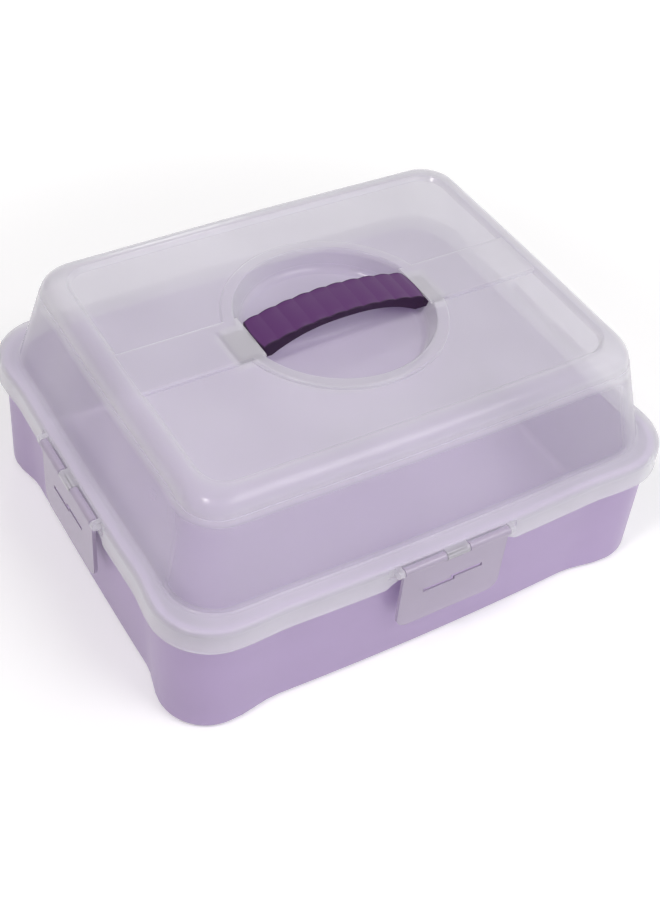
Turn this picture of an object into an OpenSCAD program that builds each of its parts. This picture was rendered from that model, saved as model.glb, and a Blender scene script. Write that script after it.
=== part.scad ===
// Cake carrier: a deep tray, a tall clear lid hinged at the back, three swing
// latches on the other sides and a ribbed carrying strap over a round finger well.
// X runs along the long sides, Y from the front to the back, Z up from the surface.

/* [Plan outline] */
// Length over the lid's skirt, at the middle of the two ends
skirt_length = 340; // [300:1:400]
// Depth over the lid's skirt, at the middle of the two long sides
skirt_depth = 286; // [250:1:340]
// Corner radius of the skirt, seen from above
skirt_corner_radius = 36; // [28:1:46]
// How much smaller than the skirt's the corner radius at the foot of the lid's walls is
wall_corner_step = 5; // [2:0.5:8]
// Corner radius of the crease, seen from above
crease_corner_radius = 22; // [18:1:28]
// Corner radius of the top edge, seen from above
top_corner_radius = 20; // [16:1:26]
// How far the corners of the skirt stand out beyond the ends of its sides
skirt_corner_bulge = 2.4; // [0:0.1:5]
// How far a long side of the skirt bows out at its middle
long_side_bow = 4; // [0:0.1:6]
// How far an end of the skirt bows out at its middle
end_bow = 1.5; // [0:0.1:4]

/* [Tray] */
// Height of the tray's rim above the surface
tray_height = 87.5; // [75:0.5:110]
// Thickness of the tray's wall
tray_wall = 2.4; // [1.8:0.1:3.5]
// Thickness of the tray's floor
tray_floor = 2.6; // [1.8:0.1:4]
// How far the tray's wall comes in from its rim to its base
tray_draft = 2.5; // [1:0.1:6]
// How much less than its sides the tray's corners come in towards the base
corner_stand = 3; // [0:0.1:4]
// Radius of the rounded edge round the tray's base
base_round = 3.5; // [2.5:0.5:8]
// Radius of the rounded edge round the tray's inside floor
inside_round = 5; // [3:0.5:10]
// Height of the foot that the tray stands on
foot_height = 0.8; // [0.6:0.1:3]
// How far the foot stands inside the edge of the tray's flat underside
foot_setback = 2; // [1:0.5:8]
// How far the lip round the tray's rim stands out
rim_lip = 1.6; // [0.8:0.1:2.5]
// Height of the lip round the tray's rim
rim_lip_height = 4; // [2.5:0.5:6]

/* [Lid shell] */
// Height of the lid's top edge above the tray's rim
lid_rise = 67.5; // [55:0.5:100]
// Thickness of the lid's wall
lid_wall = 2.2; // [1.8:0.1:3]
// How far the skirt hangs down below the tray's rim
skirt_drop = 13.5; // [10:0.5:18]
// Radius of the rounded outer edge of the lid's flange
flange_round = 3; // [2:0.5:4]
// Width of the flat flange at the two ends
flange_width_ends = 10; // [8:0.5:14]
// Width of the flat flange along the long sides
flange_width_sides = 12; // [8:0.5:15]
// Length over the crease at the bottom of the shoulder
crease_length = 295; // [270:1:310]
// Depth over the crease at the bottom of the shoulder
crease_depth = 229; // [205:1:245]
// Height of the rounded shoulder between the crease and the top edge
shoulder_height = 12; // [8:0.5:18]
// Length over the top edge
top_length = 272; // [250:1:285]
// Depth over the top edge
top_depth = 203; // [185:1:218]
// Width of the raised edge round the top panel
top_edge_width = 5; // [4:0.5:9]
// Width of the flat part of the raised edge
top_edge_flat = 2; // [1:0.5:3]
// How far the top panel lies below the top edge
panel_drop = 3; // [1.5:0.1:5]

/* [Finger well] */
// Outer radius of the ring round the finger well
ring_radius = 68; // [62:0.5:76]
// Width of the ring round the finger well
ring_width = 8; // [6:0.5:10]
// How far the ring stands above the top panel
ring_rise = 2.2; // [1:0.1:3]
// How far the well's wall comes in from its top to its floor
well_draft = 3; // [1:0.5:5]
// Radius of the rounded edge round the well's floor
well_round = 5; // [3:0.5:7]
// Depth of the well's floor below the top panel
well_depth = 12; // [11:0.5:16]
// Width of the raised channel that runs along the top panel
channel_width = 37; // [34:0.5:44]
// How far the channel stands above the top panel
channel_rise = 2.2; // [1:0.1:3]

/* [Carrying strap] */
// Width of the strap
strap_width = 25.5; // [20:0.5:30]
// Height of the strap's arch at its middle, above its ends
strap_arch = 8.5; // [5:0.5:14]
// Thickness of the strap at its middle
strap_thickness = 4.4; // [3:0.1:6]
// Height of the ribs across the strap
rib_height = 0.9; // [0.4:0.1:1.5]
// Number of ribs across the strap
rib_count = 10; // [6:1:14]
// Thickness of the tongue at each end of the strap
tongue_thickness = 2.2; // [1.8:0.1:3]
// Length of each tongue inside its pocket
tongue_length = 9; // [6:0.5:12]
// How far the strap lifts before its tongues meet the pocket's roof
strap_lift = 3.4; // [1:0.1:4]
// Wall round a tongue's pocket, and the roof over it
pocket_wall = 1.6; // [1.2:0.1:2]
// Gap round the strap in its well and pockets
strap_gap = 0.8; // [0.5:0.1:1.2]
// Gap left over the tongues when the strap is lifted
lift_spare = 0.3; // [0.1:0.1:0.6]
// Gap under the tongues when the strap rests
rest_gap = 0.2; // [0.1:0.1:0.4]

/* [Latches] */
// Width of a latch
latch_width = 71; // [60:1:90]
// Distance from the lid's flange down to a latch's lower edge
latch_length = 51; // [44:0.5:60]
// Thickness of a latch's plate
latch_plate = 2.4; // [2:0.1:3]
// Radius of a latch's lower corners
latch_corner = 8; // [4:0.5:12]
// Gap between the skirt and a closed latch
latch_gap = 0.7; // [0.5:0.1:1.5]
// Radius of the bar that a latch swings on
bar_radius = 1.5; // [1.2:0.1:2]
// Wall of a latch's clip round the bar
clip_wall = 1.25; // [1:0.05:1.6]
// Running gap between the bar and a latch's clip
bar_gap = 0.06; // [0.04:0.01:0.1]
// Width of the lug that holds the bar at its middle
middle_lug_width = 15; // [10:0.5:22]
// Width of the lugs that hold the bar at its ends
end_lug_width = 3.5; // [2.5:0.5:6]
// Sideways gap between a latch and the lugs beside it
lug_gap = 0.7; // [0.4:0.1:1.2]
// Length of each half of a tray catch
catch_length = 19.5; // [12:0.5:24]
// Thickness of a tray catch
catch_thickness = 1.6; // [1.4:0.1:4]
// Step in height between the two halves of a catch
catch_step = 2.4; // [2:0.1:6]
// Distance from the lid's flange down to the middle of a catch
catch_drop = 24; // [23:0.5:28]
// Gap round a catch in a latch's slot
catch_gap = 0.7; // [0.6:0.1:1.4]
// How far the notch in the skirt behind a latch runs out beyond it on each side
notch_reach = 10; // [6:1:14]
// Height of the notch in the skirt behind a latch
notch_height = 6; // [4:0.5:8]

/* [Back hinges] */
// Distance of each hinge from the middle of the back
hinge_offset = 80; // [50:1:105]
// Outer radius of the hinge knuckles
knuckle_radius = 3.4; // [3:0.1:4]
// Width of the lid's knuckle
lid_knuckle_width = 16; // [10:1:24]
// Width of each tray knuckle
tray_knuckle_width = 8; // [6:0.5:12]
// Height of a tray knuckle's bracket where it leaves the wall
bracket_height = 13; // [9:0.5:18]
// Height above the hinge where the arm of the lid's knuckle leaves the skirt
arm_foot = 1.5; // [0.5:0.5:3]
// Height above the hinge of the top of that arm
arm_top = 11; // [7:0.5:13]
// Sideways gap between neighbouring knuckles
knuckle_gap = 0.4; // [0.3:0.1:0.8]
// Radius of a hinge pin
pin_radius = 1.6; // [1.2:0.1:1.9]
// Running gap between a hinge pin and its knuckles
pin_gap = 0.05; // [0.03:0.01:0.1]

/* [Fits] */
// Gap between the tray's rim and the lid's flange
seat_gap = 0.2; // [0.1:0.1:0.5]
// Gap between the tray's lip and the inside of the skirt
skirt_gap = 1.2; // [0.8:0.1:2]
// Gap between the skirt and the hinge knuckles
knuckle_clearance = 0.8; // [0.5:0.1:1.5]

/* [Hidden] */

// Smoothness of turned parts
$fn = 64;
// How far a cut runs past the surface it opens
cut = 1;
// How far an added lug is sunk into the wall that carries it
embed = 1.4;
// The same for a lug that stands where the latch relief has thinned the wall
lug_embed = 1.8;
// A reach that is longer than any wall or strap that a cut or a trim passes through
long_reach = 40;

skirt_x = skirt_length / 2;
skirt_y = skirt_depth / 2;
skirt_edge = tray_height - skirt_drop;
flange_under = tray_height + seat_gap;
flange_top = flange_under + lid_wall;
lid_top = tray_height + lid_rise;
crease_height = lid_top - shoulder_height;
panel_top = lid_top - panel_drop;
panel_under = panel_top - lid_wall;

// A plan outline is [half length, half depth, corner radius, end bow, side bow, bulge].
skirt_plan = [skirt_x, skirt_y, skirt_corner_radius, end_bow, long_side_bow, skirt_corner_bulge];
lid_foot_plan = [skirt_x - flange_width_ends, skirt_y - flange_width_sides,
    skirt_corner_radius - wall_corner_step, end_bow, long_side_bow * 0.75, 1];
crease_plan = [crease_length / 2, crease_depth / 2, crease_corner_radius, 1, 2, 0.5];
top_plan = [top_length / 2, top_depth / 2, top_corner_radius, 0.5, 1, 0];
lip_inset = lid_wall + skirt_gap;
tray_top_plan = inset_plan(skirt_plan, lip_inset + rim_lip);
tray_base_plan = inset_plan(tray_top_plan, tray_draft)
    + [0, 0, tray_draft * 0.6, 0, 0, corner_stand];

// The same outline moved inwards by d all round
function inset_plan(p, d) = [p[0] - d, p[1] - d, p[2] - d, p[3], p[4], p[5]];
// An outline part of the way from p to q
function mix_plan(p, q, t) = p + (q - p) * t;
function smooth_step(t) = t <= 0 ? 0 : t >= 1 ? 1 : t * t * (3 - 2 * t);

// Steps round each corner of an outline
corner_steps = 6;
// Share of a half side at which the bulge of its corner starts
bulge_start = 0.75;
// Stations along each side of an outline
stations = [-1, -0.93, -0.86, -0.79, -0.5, -0.17, 0.17, 0.5, 0.79, 0.86, 0.93];

// How far a side lies inside its middle at station u, which runs from -1 to 1
function side_fall(u, bow, bulge) =
    bow * u * u - bulge * smooth_step((abs(u) - bulge_start) / (1 - bulge_start));

function half_plan(p) = let(
        cx = p[0] - p[3] + p[5],
        cy = p[1] - p[4] + p[5],
        r = p[2])
    concat(
        [for (u = stations) [u * (cx - r), -(p[1] - side_fall(u, p[4], p[5]))]],
        [for (i = [0 : corner_steps - 1]) let(a = -90 + 90 * i / corner_steps)
            [cx - r + r * cos(a), -(cy - r) + r * sin(a)]],
        [for (u = stations) [p[0] - side_fall(u, p[3], p[5]), u * (cy - r)]],
        [for (i = [0 : corner_steps - 1]) let(a = 90 * i / corner_steps)
            [cx - r + r * cos(a), cy - r + r * sin(a)]]);

// The whole outline, anticlockwise from above
function outline(p) = let(h = half_plan(p)) concat(h, [for (q = h) -q]);

function outline_at(p, z) = [for (q = outline(p)) [q[0], q[1], z]];

// A closed shell through a list of levels, each [plan, height]. The first and
// the last level are filled in flat, each from its middle.
module shell(levels) {
    n = len(outline(levels[0][0]));
    rings = len(levels);
    pts = concat(
        [for (l = levels) for (q = outline_at(l[0], l[1])) q],
        [[0, 0, levels[0][1]], [0, 0, levels[rings - 1][1]]]);
    first = [for (j = [0 : n - 1]) [j, (j + 1) % n, rings * n]];
    last = [for (j = [0 : n - 1]) let(k = (rings - 1) * n) [k + (j + 1) % n, k + j, rings * n + 1]];
    sides = [for (i = [0 : rings - 2]) for (j = [0 : n - 1]) let(
            a = i * n + j,
            b = i * n + (j + 1) % n,
            c = (i + 1) * n + (j + 1) % n,
            d = (i + 1) * n + j)
        each [[a, d, c], [a, c, b]]];
    polyhedron(points = pts, faces = concat(first, sides, last), convexity = 8);
}

// Places what is drawn for the front of the carrier on one of its sides. There
// the skirt's middle is at y = 0 and outwards is -Y.
module on_front() translate([0, -skirt_y, 0]) children();
module on_left() rotate([0, 0, -90]) translate([0, -skirt_x, 0]) children();
module on_right() rotate([0, 0, 90]) translate([0, -skirt_x, 0]) children();
module on_back() rotate([0, 0, 180]) translate([0, -skirt_y, 0]) children();

// An outline drawn in [outwards, height], swept along the side it is on, from
// x = from over the given width
module along_side(from, width)
    translate([from, 0, 0]) rotate([90, 0, 90]) linear_extrude(height = width)
        mirror([1, 0]) children();

// A rod along the side, centred on the axis at [outwards, height]
module rod(axis, radius, from, width)
    translate([from, -axis[0], axis[1]]) rotate([0, 90, 0]) cylinder(r = radius, h = width);

// ---- Tray ----

foot_plan = inset_plan(tray_base_plan, base_round);
tray_levels = concat(
    [[foot_plan, foot_height]],
    [for (a = [30, 60, 90]) [inset_plan(tray_base_plan, base_round * (1 - sin(a))),
        foot_height + base_round * (1 - cos(a))]],
    [[tray_top_plan, tray_height - rim_lip_height],
     [inset_plan(tray_top_plan, -rim_lip), tray_height - rim_lip_height],
     [inset_plan(tray_top_plan, -rim_lip), tray_height - rim_lip / 2],
     [inset_plan(tray_top_plan, -rim_lip / 2), tray_height],
     [inset_plan(tray_top_plan, tray_wall), tray_height]],
    [for (a = [90, 60, 30, 0]) [inset_plan(tray_base_plan, tray_wall + inside_round * (1 - sin(a))),
        foot_height + tray_floor + inside_round * (1 - cos(a))]]);

// Where a latch's bar runs, as [outwards from the skirt, height]
clip_radius = bar_radius + bar_gap + clip_wall;
bar_axis = [latch_gap + latch_plate / 2, flange_top - clip_radius - bar_gap];
catch_height = flange_top - catch_drop;

// How far the tray's outer face lies outwards of the skirt (less than 0) at a height
wall_top = tray_height - rim_lip_height;
wall_foot = foot_height + base_round;
function tray_face(z) =
    -(lip_inset + rim_lip + tray_draft * (wall_top - z) / (wall_top - wall_foot));
// How far the long sides fall back at a distance from their middle
function long_side_fall(x) = side_fall(x / (skirt_x - end_bow + skirt_corner_bulge
    - skirt_corner_radius), long_side_bow, skirt_corner_bulge);

// One stepped catch, which ends inside the slot of a closed latch
module tray_catch() {
    from = tray_face(catch_height) - tray_wall * 0.6;
    depth = latch_gap + latch_plate * 0.8 - from;
    for (side = [-1, 1])
        translate([side < 0 ? -catch_length : 0, -from - depth,
                catch_height + side * catch_step / 2 - catch_thickness / 2])
            cube([catch_length, depth, catch_thickness]);
    translate([-catch_thickness / 2, -from - depth,
            catch_height - catch_step / 2 - catch_thickness / 2])
        cube([catch_thickness, depth, catch_step + catch_thickness]);
}

// Where a hinge pin runs at the back, as [outwards from the skirt, height]
hinge_axis = [knuckle_radius + knuckle_clearance, skirt_edge];
hinge_width = lid_knuckle_width + 2 * (tray_knuckle_width + knuckle_gap);

// The two tray knuckles of one hinge, on brackets that pass under the skirt
module tray_knuckles() {
    under_skirt = skirt_edge - knuckle_clearance;
    from_wall = tray_face(under_skirt - 6) - long_side_fall(hinge_offset) - tray_wall * 0.6;
    for (from = [-hinge_width / 2, hinge_width / 2 - tray_knuckle_width]) {
        along_side(from, tray_knuckle_width)
            polygon([[from_wall, under_skirt - bracket_height],
                [from_wall, under_skirt],
                [hinge_axis[0] - knuckle_radius, under_skirt],
                [hinge_axis[0], hinge_axis[1]],
                [hinge_axis[0], hinge_axis[1] - knuckle_radius],
                [hinge_axis[0] - knuckle_radius, under_skirt - knuckle_radius]]);
        rod(hinge_axis, knuckle_radius, from, tray_knuckle_width);
    }
}

module hinge_bores()
    rod(hinge_axis, pin_radius + pin_gap, -hinge_width / 2 - cut, hinge_width + 2 * cut);

module tray() color("plum") difference() {
    union() {
        shell(tray_levels);
        linear_extrude(height = foot_height + tray_floor / 2)
            polygon(outline(inset_plan(foot_plan, foot_setback)));
        on_front() tray_catch();
        on_left() tray_catch();
        on_right() tray_catch();
        for (x = [-hinge_offset, hinge_offset]) on_back() translate([x, 0, 0]) tray_knuckles();
    }
    for (x = [-hinge_offset, hinge_offset]) on_back() translate([x, 0, 0]) hinge_bores();
}

// ---- Lid ----

edge_plan = inset_plan(top_plan, top_edge_flat);
panel_plan = inset_plan(top_plan, top_edge_width);
lid_levels = concat(
    [[panel_plan, panel_under],
     [inset_plan(top_plan, lid_wall / 2), lid_top - lid_wall]],
    [for (a = [67.5, 45, 22.5, 0]) [inset_plan(mix_plan(crease_plan, top_plan, 1 - cos(a)),
            lid_wall - lid_wall / 2 * (1 - cos(a))),
        crease_height + (shoulder_height - lid_wall) * sin(a)]],
    [[inset_plan(lid_foot_plan, lid_wall), flange_under],
     [inset_plan(skirt_plan, lid_wall), flange_under],
     [inset_plan(skirt_plan, lid_wall), skirt_edge],
     [skirt_plan, skirt_edge]],
    [for (a = [0, 45, 90]) [inset_plan(skirt_plan, flange_round * (1 - cos(a))),
        flange_top - flange_round * (1 - sin(a))]],
    [[lid_foot_plan, flange_top]],
    [for (a = [0, 22.5, 45, 67.5, 90]) [mix_plan(crease_plan, top_plan, 1 - cos(a)),
        crease_height + shoulder_height * sin(a)]],
    [[edge_plan, lid_top],
     [inset_plan(panel_plan, -1), panel_top + 0.6],
     [panel_plan, panel_top]]);

ring_top = panel_top + ring_rise;
well_radius = ring_radius - ring_width;
well_floor = panel_top - well_depth;

// The ring with the dished well inside it, as one turned shape
module ring_and_well() rotate_extrude($fn = 96) polygon([
    [ring_radius, panel_under],
    [ring_radius, panel_top],
    [ring_radius - 0.4, panel_top + ring_rise * 0.6],
    [ring_radius - 1.4, ring_top],
    [well_radius + 1.4, ring_top],
    [well_radius + 0.4, panel_top + ring_rise * 0.6],
    [well_radius, panel_top],
    [well_radius - well_draft, well_floor + well_round],
    [well_radius - well_draft - well_round * 0.3, well_floor + well_round * 0.4],
    [well_radius - well_draft - well_round, well_floor],
    [0, well_floor],
    [0, well_floor - lid_wall],
    [well_radius - well_draft - well_round * 0.8, well_floor - lid_wall],
    [well_radius - well_draft + well_round * 0.2, well_floor + well_round * 0.2],
    [well_radius + 1.5, panel_under]]);

// The strap rests with its tongues on the pockets' floors
tongue_end = well_radius + tongue_length;
channel_top = panel_top + channel_rise;
pocket_roof = channel_top - pocket_wall;
tongue_bottom = pocket_roof - strap_lift - lift_spare - tongue_thickness;
pocket_floor = tongue_bottom - rest_gap;
pocket_end = tongue_end + strap_gap;
pocket_half = strap_width / 2 + strap_gap;

// One half of the raised channel, from the finger well to the panel's edge
module channel_half() {
    far = top_length / 2 - top_edge_width / 2;
    near = well_radius - well_draft - 1;
    half = channel_width / 2;
    translate([near, 0, 0]) rotate([90, 0, 90]) linear_extrude(height = far - near)
        polygon([[-half, panel_under + 0.4], [half, panel_under + 0.4], [half, panel_top],
            [half - 0.5, panel_top + channel_rise * 0.65], [half - 1.6, channel_top],
            [-half + 1.6, channel_top], [-half + 0.5, panel_top + channel_rise * 0.65],
            [-half, panel_top]]);
    translate([near, -pocket_half - pocket_wall, pocket_floor - pocket_wall])
        cube([pocket_end + pocket_wall - near, 2 * (pocket_half + pocket_wall),
            panel_top - pocket_floor + pocket_wall]);
}

// What the well and the two pockets take out of the lid
module well_and_pockets() {
    translate([0, 0, well_floor + well_round]) cylinder(r1 = well_radius - well_draft,
        r2 = well_radius, h = panel_top - well_floor - well_round, $fn = 96);
    translate([0, 0, panel_top - 0.01]) cylinder(r = well_radius, h = ring_rise + cut, $fn = 96);
    translate([-pocket_end, -pocket_half, pocket_floor])
        cube([2 * pocket_end, 2 * pocket_half, pocket_roof - pocket_floor]);
}

relief_depth = clip_radius + 0.4 - bar_axis[0];
latch_half = latch_width / 2;
bar_half = latch_half + lug_gap + end_lug_width;

// A lug from the skirt out to a latch's bar
module bar_lug(from, width) {
    along_side(from, width) polygon([
        [-lug_embed, bar_axis[1] - clip_radius],
        [bar_axis[0], bar_axis[1] - clip_radius],
        [bar_axis[0], bar_axis[1] + clip_radius],
        [-lug_embed, bar_axis[1] + clip_radius]]);
    rod(bar_axis, clip_radius, from, width);
}

module bar_and_lugs() {
    bar_lug(-middle_lug_width / 2, middle_lug_width);
    bar_lug(-bar_half, end_lug_width);
    bar_lug(latch_half + lug_gap, end_lug_width);
    rod(bar_axis, bar_radius, -bar_half + 0.5, 2 * bar_half - 1);
}

// The relief in the flange's edge that a latch's clips turn in
module latch_relief()
    translate([-bar_half - 4, -relief_depth - 8, bar_axis[1] - clip_radius - 2])
        cube([2 * bar_half + 8, 8 + 2 * relief_depth, long_reach / 2]);

// The notch in the skirt's lower edge behind a latch, which shows at its two sides
module skirt_notch() {
    depth = embed + 2 * lid_wall + long_side_bow;
    translate([0, depth - embed, 0]) rotate([90, 0, 0]) linear_extrude(height = depth)
        polygon([[-latch_half - notch_reach, skirt_edge - cut],
            [latch_half + notch_reach, skirt_edge - cut],
            [latch_half + notch_reach, skirt_edge],
            [latch_half - 1, skirt_edge + notch_height],
            [-latch_half + 1, skirt_edge + notch_height],
            [-latch_half - notch_reach, skirt_edge]]);
}

// The lid's knuckle of one hinge, on an arm from the skirt
module lid_knuckle() {
    along_side(-lid_knuckle_width / 2, lid_knuckle_width)
        polygon([[-lid_wall, hinge_axis[1] + arm_foot], [-lid_wall, hinge_axis[1] + arm_top],
            [0.5, hinge_axis[1] + arm_top], [hinge_axis[0] + knuckle_radius * 0.8,
            hinge_axis[1] + knuckle_radius * 0.6], [hinge_axis[0], hinge_axis[1]]]);
    rod(hinge_axis, knuckle_radius, -lid_knuckle_width / 2, lid_knuckle_width);
}

module lid() color([0.86, 0.84, 0.9, 0.45]) union() {
    difference() {
        union() {
            difference() {
                shell(lid_levels);
                translate([0, 0, panel_under - cut])
                    cylinder(r = well_radius + 3, h = lid_wall + 2 * cut, $fn = 96);
                on_front() latch_relief();
                on_left() latch_relief();
                on_right() latch_relief();
                on_front() skirt_notch();
                on_left() skirt_notch();
                on_right() skirt_notch();
            }
            ring_and_well();
            channel_half();
            mirror([1, 0, 0]) channel_half();
            for (x = [-hinge_offset, hinge_offset]) on_back() translate([x, 0, 0]) lid_knuckle();
        }
        well_and_pockets();
        for (x = [-hinge_offset, hinge_offset]) on_back() translate([x, 0, 0]) hinge_bores();
    }
    on_front() bar_and_lugs();
    on_left() bar_and_lugs();
    on_right() bar_and_lugs();
}

// ---- Carrying strap ----

strap_half = well_radius - well_draft - strap_gap;
strap_end_top = channel_top;
rib_pitch = 2 * strap_half / rib_count;
function strap_line(x) = 1 - (x / strap_half) * (x / strap_half);
function rib_at(x) = rib_height * abs(sin(180 * x / rib_pitch + 90 * (rib_count % 2)));

module strap_profile() {
    top = [for (i = [0 : 8 * rib_count]) let(x = -strap_half + i * rib_pitch / 8)
        [x, strap_end_top + strap_arch * strap_line(x) + rib_at(x) * (abs(x) < strap_half - 1 ? 1 : 0)]];
    inner = strap_half - 7;
    under = [for (i = [0 : 24]) let(x = inner - i * inner / 12)
        [x, tongue_bottom + (strap_end_top + strap_arch - strap_thickness - tongue_bottom)
            * (1 - pow(abs(x / inner), 2.4))]];
    polygon(concat(top, [[strap_half, tongue_bottom]], under, [[-strap_half, tongue_bottom]]));
}

module carrying_strap() color("indigo") union() {
    intersection() {
        translate([0, strap_width / 2, 0]) rotate([90, 0, 0])
            linear_extrude(height = strap_width) strap_profile();
        translate([0, 0, tongue_bottom - cut]) cylinder(r = strap_half, h = long_reach, $fn = 96);
    }
    translate([0, 0, tongue_bottom]) linear_extrude(height = tongue_thickness) difference() {
        square([2 * tongue_end, strap_width], center = true);
        square([2 * (strap_half - 9), strap_width + 2], center = true);
    }
}

// ---- Latches ----

// The latch's face seen from outside, as [across, height]
module latch_face() difference() {
    union() {
        translate([-latch_half, flange_top - latch_length + latch_corner])
            square([latch_width, latch_length - latch_corner - (flange_top - bar_axis[1])]);
        translate([-latch_half + latch_corner, flange_top - latch_length])
            square([latch_width - 2 * latch_corner, latch_corner + cut]);
        for (s = [-1, 1]) translate([s * (latch_half - latch_corner),
            flange_top - latch_length + latch_corner]) circle(r = latch_corner);
    }
    for (side = [-1, 1])
        translate([side < 0 ? -catch_length - catch_gap : -catch_gap,
                catch_height + side * catch_step / 2 - catch_thickness / 2 - catch_gap])
            square([catch_length + 2 * catch_gap, catch_thickness + 2 * catch_gap]);
    translate([-catch_thickness / 2 - catch_gap,
            catch_height - catch_step / 2 - catch_thickness / 2 - catch_gap])
        square([catch_thickness + 2 * catch_gap, catch_step + catch_thickness + 2 * catch_gap]);
    translate([-middle_lug_width / 2 - lug_gap, bar_axis[1] - clip_radius - lug_gap])
        square([middle_lug_width + 2 * lug_gap, long_reach / 2]);
}

module latch() difference() {
    clip_width = latch_half - middle_lug_width / 2 - lug_gap;
    union() {
        translate([0, -latch_gap, 0]) rotate([90, 0, 0])
            linear_extrude(height = latch_plate) latch_face();
        rod(bar_axis, clip_radius, -latch_half, clip_width);
        rod(bar_axis, clip_radius, latch_half - clip_width, clip_width);
    }
    rod(bar_axis, bar_radius + bar_gap, -latch_half - cut, latch_width + 2 * cut);
    // The mouth that lets each clip snap over the bar
    translate([-latch_half - cut, -bar_axis[0], bar_axis[1] - bar_radius * 0.8])
        cube([latch_width + 2 * cut, long_reach, bar_radius * 1.6]);
}

module latch_front() color([0.8, 0.72, 0.85, 0.6]) on_front() latch();
module latch_left() color([0.8, 0.72, 0.85, 0.6]) on_left() latch();
module latch_right() color([0.8, 0.72, 0.85, 0.6]) on_right() latch();

// ---- Hinge pins ----

module hinge_pin() rod(hinge_axis, pin_radius, -hinge_width / 2, hinge_width);

module hinge_pin_left() color("silver") on_back() translate([hinge_offset, 0, 0]) hinge_pin();
module hinge_pin_right() color("silver") on_back() translate([-hinge_offset, 0, 0]) hinge_pin();

tray();
lid();
carrying_strap();
latch_front();
latch_left();
latch_right();
hinge_pin_left();
hinge_pin_right();
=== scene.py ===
import math

import bmesh
import bpy
from mathutils import Matrix, Vector


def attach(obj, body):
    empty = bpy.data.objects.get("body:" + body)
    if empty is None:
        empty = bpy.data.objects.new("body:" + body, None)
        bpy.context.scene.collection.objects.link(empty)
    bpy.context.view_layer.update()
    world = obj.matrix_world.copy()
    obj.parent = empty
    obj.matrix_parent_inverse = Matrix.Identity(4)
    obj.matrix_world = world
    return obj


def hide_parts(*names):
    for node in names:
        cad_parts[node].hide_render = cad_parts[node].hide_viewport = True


bl_info = {
    "name": "Cake Carrier",
    "version": (1, 0, 0),
    "blender": (4, 5, 0),
    "location": "3D View > Sidebar > Cake Carrier",
    "description": "Models a cake carrier with a hinged, frosted lid round its packed frame",
    "category": "Object",
}

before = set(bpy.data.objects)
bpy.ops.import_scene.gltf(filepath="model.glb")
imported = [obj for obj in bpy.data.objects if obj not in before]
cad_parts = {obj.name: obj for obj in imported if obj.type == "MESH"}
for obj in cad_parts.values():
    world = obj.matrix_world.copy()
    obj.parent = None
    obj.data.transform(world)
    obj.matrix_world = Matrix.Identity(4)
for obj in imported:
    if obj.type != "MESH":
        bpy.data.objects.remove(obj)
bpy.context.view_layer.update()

# Everything is modelled in millimetres and brought to metres when a piece is finished.
MM = 0.001
CORNER_STEPS = 14
SIDE_STATIONS = 32
BULGE_START = 0.75
TURN_STEPS = 160
SMOOTH_ANGLE = math.radians(32)
# Share of the light stopped by a frosted wall that still comes through it, scattered
LIGHT_LET_THROUGH = 0.82
# Heights in metres where the lid's thick rim ends and where its top panel starts
RIM_TOP = 0.0899
PANEL_FOOT = 0.142


# ---- Sizes and colours a user would change ----


class CarrierSizes(bpy.types.PropertyGroup):
    """Sizes of the visible mouldings"""

    skirt_length: bpy.props.FloatProperty(
        name="Skirt length", description="Length over the lid's skirt",
        default=0.34, min=0.3, max=0.4, unit="LENGTH")
    skirt_depth: bpy.props.FloatProperty(
        name="Skirt depth", description="Depth over the lid's skirt",
        default=0.286, min=0.25, max=0.34, unit="LENGTH")
    tray_height: bpy.props.FloatProperty(
        name="Tray height", description="Height of the tray's rim above the surface",
        default=0.0875, min=0.075, max=0.11, unit="LENGTH")
    lid_rise: bpy.props.FloatProperty(
        name="Lid rise", description="Height of the lid's top edge above the tray's rim",
        default=0.0675, min=0.055, max=0.1, unit="LENGTH")
    ring_radius: bpy.props.FloatProperty(
        name="Ring radius", description="Outer radius of the ring round the finger well",
        default=0.068, min=0.062, max=0.076, unit="LENGTH")
    strap_width: bpy.props.FloatProperty(
        name="Strap width", description="Width of the carrying strap",
        default=0.0255, min=0.02, max=0.03, unit="LENGTH")
    rib_count: bpy.props.IntProperty(
        name="Ribs", description="Number of ribs across the strap", default=10, min=6, max=14)


class CarrierColours(bpy.types.PropertyGroup):
    """Colours of the plastics"""

    tray: bpy.props.FloatVectorProperty(
        name="Tray", description="Colour of the tray", subtype="COLOR", size=3,
        default=(0.50, 0.385, 0.63), min=0.0, max=1.0)
    lid: bpy.props.FloatVectorProperty(
        name="Lid", description="Colour of the frosted lid", subtype="COLOR", size=3,
        default=(0.80, 0.785, 0.845), min=0.0, max=1.0)
    lid_veil: bpy.props.FloatProperty(
        name="Lid veil", description="How much of what is behind one face of the lid is hidden",
        default=0.17, min=0.0, max=1.0, subtype="FACTOR")
    latch: bpy.props.FloatVectorProperty(
        name="Latches", description="Colour of the latches", subtype="COLOR", size=3,
        default=(0.545, 0.48, 0.615), min=0.0, max=1.0)
    latch_veil: bpy.props.FloatProperty(
        name="Latch veil", description="How much of what is behind one face of a latch is hidden",
        default=0.6, min=0.0, max=1.0, subtype="FACTOR")
    strap: bpy.props.FloatVectorProperty(
        name="Strap", description="Colour of the carrying strap", subtype="COLOR", size=3,
        default=(0.108, 0.032, 0.145), min=0.0, max=1.0)


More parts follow.
